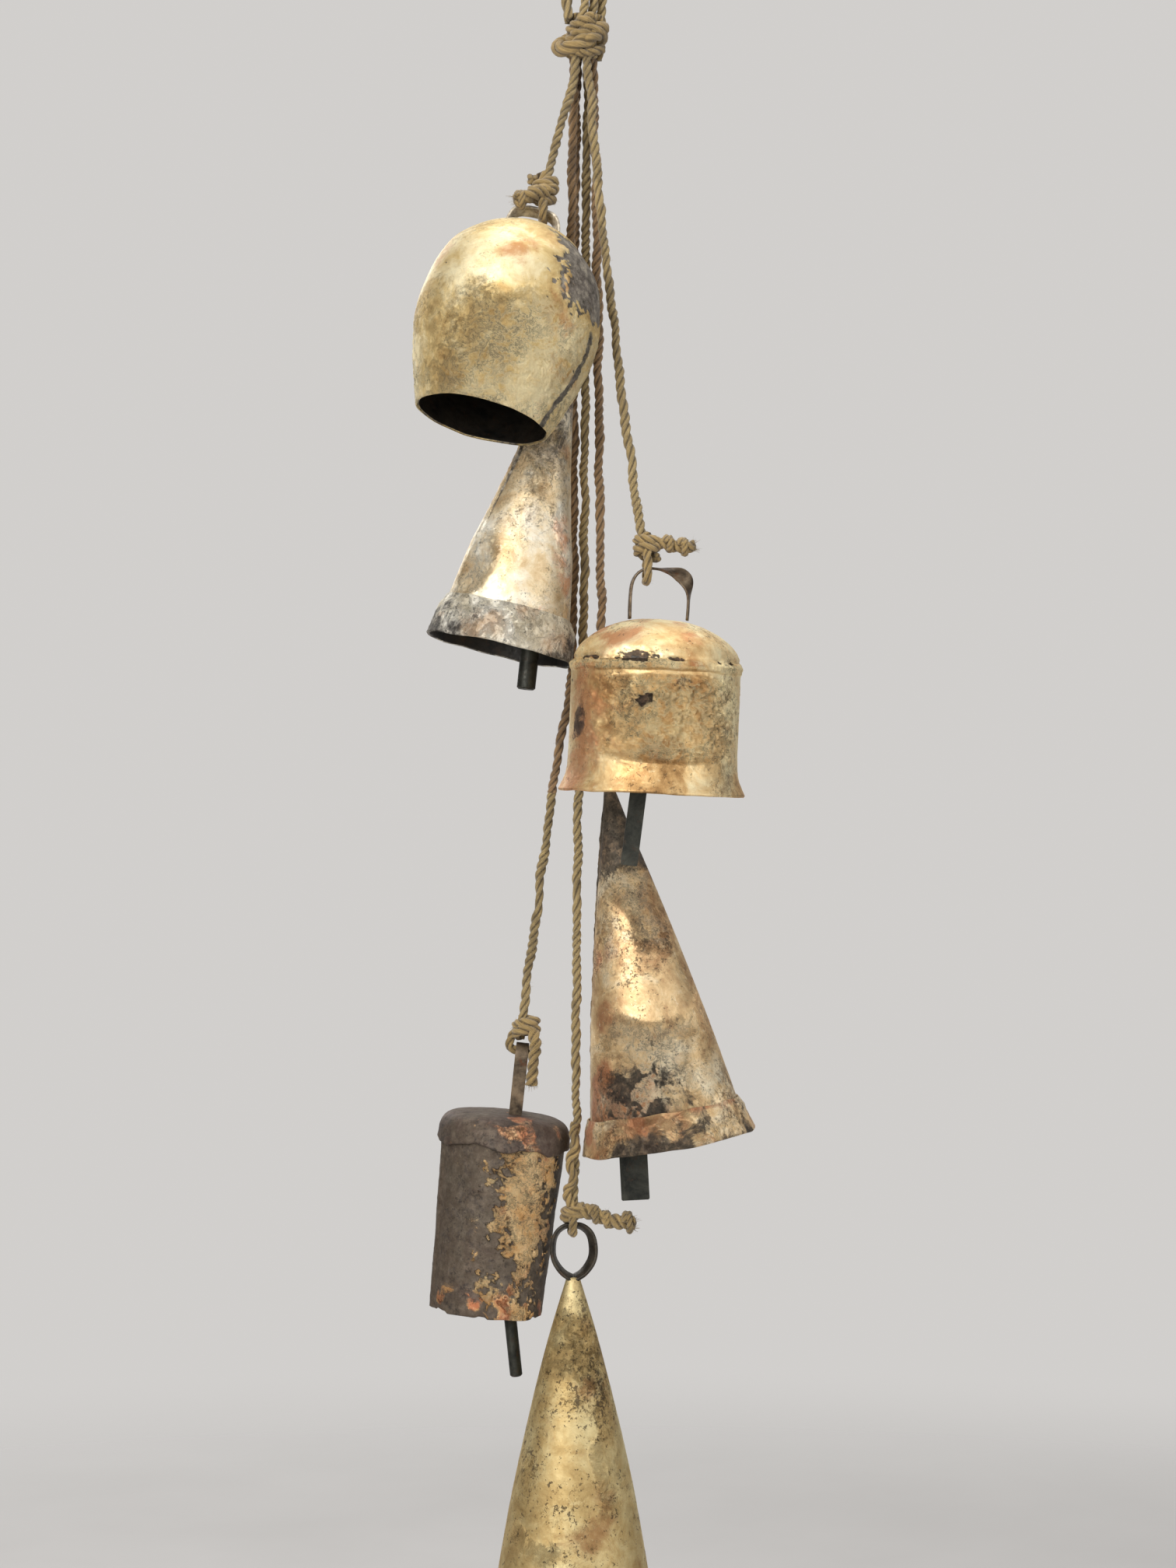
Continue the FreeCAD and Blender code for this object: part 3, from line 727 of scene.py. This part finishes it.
def weld(angle, p, at, seed):
    """The lumpy brazed seam between crown and skirt, and the dark cracks along it."""
    level = Vector((p.x, p.y, 0))
    wander = at + 1.2 * rough(level, 12, seed)
    bead = max(0.0, 1 - abs(-p.z - wander - 1.6) / 2.6)
    crack = max(0.0, 1 - abs(-p.z - wander + 0.9) / 1.5) * soft(rough(level, 9, seed + 2) + 0.1, -0.1, 0.12)
    crack = max(crack, 1.3 * near_angle(angle, 256, 26) * max(0.0, 1 - abs(-p.z - wander + 1.8) / 4.4))
    ragged = 0.75 + 0.9 * crumpled(p, 2.2, seed + 3) + 0.5 * rough(p, 5, seed + 4)
    return bead ** 0.6, max(0.0, min(1, crack * ragged))


def dome_shape(p, angle):
    depth = -p.z
    push = 0.4 * rough(p, 22, 31) + 0.05 * crumpled(p, 3.2, 32) + 0.1 * ridges(p, 7, 33)
    bead, crack = weld(angle, p, 19.0, 34)
    push += bead * (0.9 + 0.7 * crumpled(p, 2.6, 35)) - 1.7 * crack
    bare = 1.1 * soft(crack, 0.25, 0.7) + 0.2 * soft(rough(p, 12, 37), 0.15, 0.5)
    bloom = 0.7 * soft(rough(p, 14, 36) + 0.2, 0.1, 0.6) + 0.4 * near_angle(angle, 200, 60)
    return push, 0, (min(1, bare), min(1, bloom), min(1, 0.3 + bead))


def skirt_shape(p, angle):
    depth = -p.z
    push = 0.35 * rough(p, 24, 41)
    body = soft(depth, 22, 28) * (1 - soft(depth, 56, 64))
    middle_part = near_angle(angle, 283, 75)
    push += (1.9 * ridges(p, 5.6, 42) + 0.7 * crumpled(p, 2.4, 43)) * (0.06 + 1.1 * body * middle_part)
    bead, crack = weld(angle, p, 19.0, 34)
    push += bead * (0.9 + 0.7 * crumpled(p, 2.6, 35)) - 1.7 * crack
    drop = 0.5 * rough(p, 14, 44) * soft(depth, 69, 73)
    slash = near_angle(angle, 262, 16) * max(0, 1 - abs(depth - 35 - 2 * rough(p, 6, 49)) / 4)
    spot = near_angle(angle, 288, 15) * max(0, 1 - abs(depth - 29) / 7)
    cut = soft(slash + 0.35 * crumpled(p, 3, 45), 0.36, 0.7)
    push -= 0.7 * cut
    bare = 1.1 * soft(crack, 0.25, 0.7) + 0.85 * cut + 0.55 * soft(spot, 0, 0.8) + 0.25 * soft(depth, 69, 73)
    bare += 0.75 * near_angle(angle, 205, 34) * soft(rough(p, 10, 46) + 0.1, -0.1, 0.4) * body
    bare += 0.4 * near_angle(angle, 90, 70) * soft(rough(p, 18, 48), 0, 0.5)
    bloom = 0.3 * near_angle(angle, 300, 40) * soft(depth, 40, 48) * (1 - soft(depth, 54, 62))
    bloom += 0.8 * near_angle(angle, 205, 60)
    return push, drop, (min(1, bare), min(1, bloom), min(1, 0.2 + body * middle_part + bead))


def lid_shape(p, angle):
    depth = -p.z
    push = 0.3 * rough(p, 16, 51) + 0.08 * crumpled(p, 3, 52) + 0.15 * dents(p, 8, 51)
    edge = soft(depth, 9.5, 13.4)
    drop = edge * (2.6 * rough(p, 13, 53) + 0.9 * rough(p, 5, 54))
    push += edge * 0.5
    bare = 0.95 - 0.5 * near_angle(angle, 285, 60) * soft(rough(p, 9, 55) + 0.2, 0, 0.4)
    bloom = 0.5 + 0.5 * near_angle(angle, 285, 50)
    return push, drop, (bare, bloom, 0.2)


def can_shape(p, angle):
    depth = -p.z
    push = 0.5 * rough(p, 22, 61) + 0.12 * crumpled(p, 3, 62) + 0.25 * dents(p, 10, 61)
    region = near_angle(angle, 300, 66) * soft(depth, 8, 14) * (1 - 0.35 * soft(depth, 44, 60))
    flaked = soft(region + 0.40 * crumpled(p, 8, 63) + 0.26 * crumpled(p, 2.6, 64), 0.36, 0.70)
    push += 0.35 * flaked + 0.3 * ridges(p, 5, 65) * flaked
    rim = soft(depth, 81, 86)
    chips = soft(rough(Vector((p.x, p.y, 0)), 6, 66), 0.12, 0.4)
    drop = rim * (0.9 * chips + 0.8 * rough(p, 11, 67))
    low = soft(depth, 64, 84) * soft(rough(p, 9, 68), -0.15, 0.3)
    bare = 1.0 - 0.8 * flaked - 0.55 * low
    bloom = 0.35 * flaked + 0.9 * low
    seam = soft(near_angle(angle, 196, 9), 0.3, 0.6)
    push += 0.7 * seam
    return push, drop, (max(0.0, min(1, bare)), min(1, bloom), 0.25 + 0.6 * flaked)


# Outside profiles, as (radius, height) from the top to the mouth.
CROWN_STEPS = [math.radians(angle) for angle in (0, 20, 40, 60, 76, 90)]
CROWN = [(35.6 * math.sin(t), 20.6 * (math.cos(t) - 1)) for t in CROWN_STEPS]
EGG = [(0.3, 0), (12, -1.8), (23.2, -8.2), (33.8, -21), (38.6, -44), (35.6, -65.6), (28.3, -87.8)]
CONE_2 = [(5, 0), (7.6, -12.8), (13.3, -42), (20.6, -73.3), (27.4, -111.5)]
CONE_4 = [(2.0, 0), (5.4, -15.5), (13.7, -50.7), (24.2, -98.3), (33.0, -147)]
CONE_6 = [(2.8, 0), (10.9, -27), (19.2, -60), (26.2, -91.6), (32.3, -125.4), (37.8, -157)]
BAND_2 = [(28.7, -107.0), (30.3, -113.0), (32.2, -124.6)]
BAND_4 = [(34.4, -141.5), (35.5, -148.0), (38.0, -156.1)]
SKIRT = [(35.6, -20.6), (35.6, -45), (35.7, -60), (36.6, -66.5), (39.4, -73)]
LID = [(0.3, 0), (18, -0.6), (25.4, -2.6), (28.3, -7), (28.4, -13.4)]
CAN = [(26.9, -8.0), (24.4, -86)]

coarser = 1
cone_2 = cone_shape(14, 111, 205, 0.55, None, 330, tuck=0.9)
cone_4 = cone_shape(24, 147, 165, 1.0, 255, 215)
cone_6 = cone_shape(70, 157, 100, 0.1, None, 300, 0.15, 0.25)
band_2 = band_shape(20, 107, 124.6, (195, 345, 90), 0.0)
band_4 = band_shape(28, 141.5, 156.1, (255, 110), 0.35)
# node, line through the profile, profile, rows, shape, skin, bell, whether the top is closed
SKINS = [
    ("bell_1_shell", through, EGG, 150, egg_shape, gold_skin, 1, True),
    ("bell_2_shell", through, CONE_2, 130, cone_2, rose_skin, 2, True),
    ("bell_2_rim", straight, BAND_2, 34, band_2, rim_skin, 2, False),
    ("bell_3_crown", through, CROWN, 90, dome_shape, dome_skin, 3, True),
    ("bell_3_skirt", through, SKIRT, 110, skirt_shape, dome_skin, 3, False),
    ("bell_4_shell", through, CONE_4, 160, cone_4, dusk_skin, 4, True),
    ("bell_4_rim", straight, BAND_4, 30, band_4, dusk_skin, 4, False),
    ("bell_5_lid", through, LID, 60, lid_shape, ash_skin, 5, True),
    ("bell_5_body", straight, CAN, 110, can_shape, ash_skin, 5, False),
    ("bell_6_shell", through, CONE_6, 180, cone_6, cone_skin, 6, True),
]
for node, line_through, points, rows, shape, skin, number, closed in SKINS:
    profile = line_through(points, rows // coarser)
    sides = (220 if profile[-1].x > 20 else 120) // coarser
    obj = bell_skin(node + "_beaten", profile, shape, skin, number, closed, sides)
    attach(obj, f"bell_{number}")
    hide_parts(node)

# --- hangers, pins and clappers -----------------------------------------------------------------
# Hanger 5, the pins, the wires and the clappers keep their CAD shape.
for name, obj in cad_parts.items():
    finish = None
    if name.startswith("hanger"):
        finish = strip_metal
    elif name.startswith(("clapper_pin", "clapper_wire")):
        finish = wire_metal
    elif name.startswith("clapper"):
        finish = clapper_iron
    if finish:
        obj.data.materials.clear()
        obj.data.materials.append(finish)

# The outline of a strip's section, in halves of its width and thickness.
STRIP_SECTION = ((-1, -0.7), (-0.88, -1), (0.88, -1), (1, -0.7), (1, 0.7), (0.88, 1), (-0.88, 1), (-1, 0.7))


def bent_strip(number, route, twist_at, metal, half=2.75, thick=0.5):
    """A hanger bent from strip, along a route in its bell's hanging axes. At t, from 0 to 1 along it,
    twist_at gives how far it is turned, in degrees, and how many times it is wider."""
    line = smooth_line(route, 10)
    corners = len(STRIP_SECTION)
    points, faces = [], []
    count = len(line)
    closed = (line[0] - line[-1]).length < 0.5
    for i, at in enumerate(line):
        along = (line[min(i + 1, count - 1)] - line[max(i - 1, 0)]).normalized()
        t = i / (count - 1)
        degrees, widen = twist_at(t)
        flat = (Matrix.Rotation(math.radians(degrees), 3, along) @ Vector((0, 1, 0))).normalized()
        out = flat.cross(along).normalized()
        wide = half * widen * (1 + 0.06 * noise.noise(Vector((t * 9, number, 0))))
        deep = thick * (1 + 0.1 * noise.noise(Vector((t * 14, number, 5))))
        for a, b in STRIP_SECTION:
            points.append(at + flat * wide * a + out * deep * b)
        if i:
            for k in range(corners):
                a, b = corners * i + k, corners * i + (k + 1) % corners
                faces.append((a - corners, b - corners, b, a))
    if not closed:
        faces.append(tuple(range(corners - 1, -1, -1)))
        faces.append(tuple(range(corners * (count - 1), corners * count)))
    upright = knot_place(number) @ turn("Y", BELLS[number]["swing"])
    strip = add_mesh(f"hanger_{number}_strip", points, faces, [metal], upright)
    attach(strip, f"bell_{number}")
    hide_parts(f"hanger_{number}")


def ring_route(half_width, top, bottom):
    """An oval that comes to a point where it is brazed to the tip of a cone."""
    tall = top - bottom
    side = [(0.01, -0.03), (0.30, 0.02), (0.62, 0.13), (0.94, 0.33), (1.0, 0.56), (0.86, 0.84), (0.42, 0.99)]
    right = [(half_width * a, 0, bottom + tall * b) for a, b in side]
    return right + [(0, 0, top)] + [(-x, 0, z) for x, _, z in reversed(right)]


def arch_twist(t):
    """Hanger 3 lies edge on to the viewer, and is twisted and widened near its right end."""
    twisted = soft(t, 0.47, 0.70) * (1 - soft(t, 0.76, 0.93))
    widened = soft(t, 0.56, 0.70) * (1 - soft(t, 0.74, 0.9))
    return 6 + 60 * twisted, 1 + 0.22 * widened


bent_strip(3, [(-6.6, 0, -16.5), (-6.9, 0, -9.0), (-6.3, 0, 0.5), (-1.5, 0, 5.2), (5.6, 0, 4.9), (12.9, 0, 3.6),
               (17.0, 0, 0.8), (18.1, 0, -7.5), (17.6, 0, -16.2)], arch_twist, strip_metal)
bent_strip(2, ring_route(6.2, 2.9, -12.9), lambda t: (-14, 1), wire_metal)
bent_strip(4, ring_route(6.2, 2.9, -15.9), lambda t: (12, 1), wire_metal)
bent_strip(6, ring_route(8.9, 2.9, -19.3), lambda t: (22 + 10 * math.sin(6 * t), 1.05), wire_metal, 2.75, 0.7)
bent_strip(1, [(-13.9, 0, -6.2), (-13.6, 0, -2.6), (-12.2, 0, 1.8), (-7, 0, 2.9), (0, 0, 2.9), (4.6, 0, 2.0),
               (7.0, 0, -2.6), (7.3, 0, -6.2)], lambda t: (-20, 1.1), bridge_metal, 2.9, 0.6)

# --- knots --------------------------------------------------------------------------------------
# bottom and top: heights over the point where the bell hangs. tail: its route. thick: its radius.
# lumps: (place along the tail, size) of the turns knotted round it.
KNOTS = {
    1: dict(bottom=6.2, top=21.0, radius=6.8, thick=3.2, lumps=[(0.9, 3.0)],
            tail=[(2, -4, 12), (-2, -6.4, 9.6), (-6, -7.4, 7.4), (-11.5, -7.2, 5.4)]),
    2: dict(bottom=5.0, top=18.5, radius=5.5, thick=2.2, lumps=[],
            tail=[(0, -1, 14), (-4, 1, 13.5), (-8, 3, 12)]),
    3: dict(bottom=8.2, top=19.5, radius=6.0, thick=2.7, lumps=[(0.42, 2.4), (0.8, 2.7)],
            tail=[(1, 0, 15.5), (7, -1.6, 16.2), (13, 0.6, 13.6), (20, -1, 14.4)]),
    4: dict(bottom=5.2, top=18.0, radius=6.0, thick=2.2, lumps=[],
            tail=[(2, 1, 12), (6, 2, 12), (10, 3, 10)]),
    5: dict(bottom=4.8, top=14.5, radius=6.4, thick=2.8, lumps=[],
            tail=[(3.6, -3, 9), (5.8, -5.6, 4), (5.2, -7.4, -5), (5.5, -7.0, -14)]),
    6: dict(bottom=4.8, top=12.5, radius=5.6, thick=3.4, lumps=[(0.35, 2.9), (0.62, 2.6), (0.92, 3.7)],
            tail=[(1, 0, 9.6), (8, -2.6, 8.6), (15, -0.6, 4.4), (26.5, -2, 4.2)]),
}


def wound(centre, radius, bottom, top, turns, start, seed, tilt=0.0, tilt_to=0.0):
    """Points of a few uneven turns of cord round an upright axis, tilted towards tilt_to."""
    points = []
    count = int(turns * 14)
    tilt, tilt_to = math.radians(tilt), math.radians(tilt_to)
    for i in range(count + 1):
        t = i / count
        angle = math.radians(start) + 2 * math.pi * turns * t
        wobble = 1 + 0.07 * noise.noise(Vector((angle * 0.9, seed, 0.3)))
        x, y = math.cos(angle) * radius * wobble, math.sin(angle) * radius * wobble
        lift = x * math.sin(tilt) * math.cos(tilt_to) + y * math.sin(tilt) * math.sin(tilt_to)
        sag = 0.5 * noise.noise(Vector((angle * 0.6, seed, 4.2)))
        points.append(Vector((centre[0] + x, centre[1] + y, bottom + (top - bottom) * t + lift + sag)))
    return points


knots = {}
for number, spec in KNOTS.items():
    bottom, top = spec["bottom"], spec["top"]
    rope = RopeMesh()
    strand = [(-2.4, bottom + 5.5), (-4.6, bottom + 2.5), (-5.7, 3.6), (-5.2, 0.3), (-3.2, -0.15), (0, 0.05),
              (3.2, -0.15), (5.2, 0.3), (5.7, 3.6), (4.6, bottom + 2.5), (2.4, bottom + 5.5)]
    across = [((a, 0, z) if number == 5 else (0, a, z)) for a, z in strand]  # hanger 5 is edge on
    rope.add(smooth_line(across), 2.0, seed=number)
    coil = spec["radius"] - 2.1
    turns = max(1.9, (top - bottom - 3.6) / 3.9)
    windings = wound((0, 0), coil, bottom + 2.0, top - 1.9, turns, 200 + 50 * number, number * 3, 12, 60 * number)
    rope.add(windings, 2.3, seed=number + 10, sides=24)
    rope.add([Vector((0, 0, bottom + 2)), Vector((0.4, 0.3, (bottom + top) / 2)), Vector((0, 0, top + 0.5))],
             max(2.2, coil * 0.72), pitch=22, plies=2, fuzz=0, seed=number + 20)
    tail = smooth_line(spec["tail"])
    rope.add(tail, spec["thick"], pitch=11, fuzz=26, seed=number + 30)
    rope.frayed_end(tail[-1], (tail[-1] - tail[-4]).normalized(), spec["thick"])
    for at, size in spec["lumps"]:
        lump = tail[int(len(tail) * at)]
        turns = [i * 0.42 for i in range(23)]
        ring = [lump + Vector((1.1 * math.sin(a / 2), size * math.cos(a), size * math.sin(a))) for a in turns]
        rope.add(ring, 1.6, pitch=8, seed=number + 40)
    piece = rope.piece(f"end_knot_{number}_rope", knot_jute, knot_place(number))
    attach(piece, f"line_{number}")
    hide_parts(f"end_knot_{number}")
    knots[number] = piece

rope = RopeMesh()
rope.add(wound((3.2, 0), 6.9, -70.5, -60, 2.4, 150, 5, 17, 0), 3.0, seed=50, sides=24, pitch=13)
lower_wrap = [(6, -5, -66), (0, -7.6, -69.5), (-6.4, -6.0, -73), (-9.4, -1.0, -70.5), (-7.4, 4.4, -67),
              (-1, 6, -65)]
rope.add(smooth_line(lower_wrap), 3.1, seed=51, pitch=13)
last_wrap = [(-4, -5.6, -73.5), (2, -7.2, -74.6), (9.0, -4.4, -72.2), (10.4, 2.6, -70.4), (4, 7.4, -71.6)]
rope.add(smooth_line(last_wrap), 2.1, seed=52)
for i, (x, y) in enumerate([(-0.5, -3), (5.5, -3.2), (8, 1), (3.4, 3.4), (-1.5, 2), (3, 0)]):
    core = [Vector((x, y, -75.6)), Vector((x + 0.4, y, -66)), Vector((x, y * 0.8, -56.5))]
    rope.add(core, 2.3, seed=53 + i, fuzz=3)
main_knot = rope.piece("main_knot_rope", knot_jute)
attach(main_knot, "hanging_top")
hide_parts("main_knot")

# --- cords --------------------------------------------------------------------------------------
# Control points of each cord's line, in the order of its run. The first lies inside the knot or
# cord that it leaves, and the last inside the knot that it ends in.
ROUTES = {
    "cord_1": [(-1.7, -4.4, -72), (-1.8, -4.8, -78.4), (-2.6, -5.8, -89), (-6.4, -9.2, -100),
               (-12.6, -15.6, -125.5), (-13.6, -16.0, -130.5)],
    "cord_2": [(-2.3, 0, -72), (-2.4, 0, -78.4), (-3.2, 5.4, -125), (-3.5, 11.4, -174), (-3.5, 12.0, -180)],
    "cord_3": [(3.2, -4.4, -72), (3.4, -4.8, -78.4), (7.4, -8.4, -125), (13.2, -14, -180), (20.3, -19.5, -240),
               (26.2, -24, -282), (27.4, -24, -288)],
    "cord_4": [(5.7, 0, -72), (5.8, 0, -78.4), (7.2, 9.5, -128), (8.2, 17.0, -185), (8.8, 18.6, -270),
               (10.0, 18, -353), (10.0, 18, -360)],
    "cord_5_upper": [(-1.0, 4.4, -72), (-1.0, 4.7, -78.4), (-1.8, 13.6, -128), (-2.5, 22.6, -185),
                     (-2.4, 22.2, -262), (-2.8, 19.6, -345), (-9.2, 18.6, -369), (-12.0, 18, -390)],
    "cord_6_upper": [(3.5, 4.4, -72), (3.6, 4.7, -78.4), (2.9, 12.4, -128), (2.5, 19.4, -185), (2.2, 19.4, -270),
                     (1.5, 16.4, -345), (-0.6, 13.4, -394)],
    "cord_5_lower": [(-12.0, 18, -390), (-12.3, 18, -392.4), (-18.3, 18.3, -440), (-24.9, 18, -487),
                     (-25.2, 18, -491)],
    "cord_6_lower": [(-0.6, 13.4, -394), (-0.7, 13.2, -396.4), (-1.2, 10.0, -455), (-1.6, 5.6, -540),
                     (-2.7, 5, -566), (-2.7, 5, -571)],
}
CORD_6_LAP = [(-2.4, 3.4, -569), (-6.2, 3.0, -562), (-1.6, 1.4, -556), (-5.8, 2.4, -548), (-0.4, 1.8, -542),
              (-3.6, 3.4, -536), (-1.8, 5.2, -532)]
CORD_RADIUS = 2.05
for seed, (node, route) in enumerate(ROUTES.items()):
    line = smooth_line(route, 24)
    rope = RopeMesh().add(line, CORD_RADIUS, seed=seed + 70, fuzz=14, phase=seed * 1.3)
    # cords 2 and 4 and cord 5's upper part are browner, and darker as painted shade
    fibre = brown_shaded_jute if node in ("cord_2", "cord_4", "cord_5_upper") else cord_jute
    piece = rope.piece(node + "_jute", fibre)
    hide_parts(node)
    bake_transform(piece)
    with_pieces = [] if "upper" in node else [knots[int(node[5])]]
    if node == "cord_6_lower":
        lap = RopeMesh().add(smooth_line(CORD_6_LAP), 2.1, seed=90, fuzz=24)
        turned_back = lap.piece("cord_6_lap_jute", knot_jute)
        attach(turned_back, "line_6")
        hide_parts(node)
        with_pieces.append(turned_back)

# The loop's three strands, side by side from front to back.
for place in (-1, 0, 1):
    y = place * 4.2
    foot = 5.2 + 4.0 * place
    line = smooth_line([(-4.5, y, -59), (-9, y, -22), (-8.6, y, -6), (-5.2, y, 2.1), (5.2, y, 2.1),
                        (8.8 + place, y, -6), (9.6 + place, y, -22), (foot, y, -59)], 20)
    rope = RopeMesh().add(line, CORD_RADIUS, seed=place + 100, fuzz=14)
    piece = rope.piece(f"loop_strand_{place + 2}_jute", cord_jute)
    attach(piece, "hanging_top")
    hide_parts(f"loop_strand_{place + 2}")

# --- floor --------------------------------------------------------------------------------------
pale = Nodes("pale_floor")
pale.link(pale.ramp(pale.noise(6, 4, 0.5), [(0.3, (0.55, 0.54, 0.53, 1)), (0.7, (0.58, 0.57, 0.56, 1))]),
          pale.shader.inputs["Base Color"])
pale.shader.inputs["Roughness"].default_value = 0.9
reach = pale.add("VectorMath", {0: pale.place}, operation="LENGTH")["Value"]
pale.link(pale.step(reach, 1.15, 1.9, 1, 0), pale.shader.inputs["Alpha"])  # fades out
floor_data = bpy.data.meshes.new("floor")
floor_data.from_pydata([(-2, -2, 0), (2, -2, 0), (2, 2, 0), (-2, 2, 0)], [], [(0, 1, 2, 3)])
floor_data.materials.append(pale.material)
floor = bpy.data.objects.new("floor", floor_data)
floor.location.z = FLOOR_HEIGHT
scene.collection.objects.link(floor)
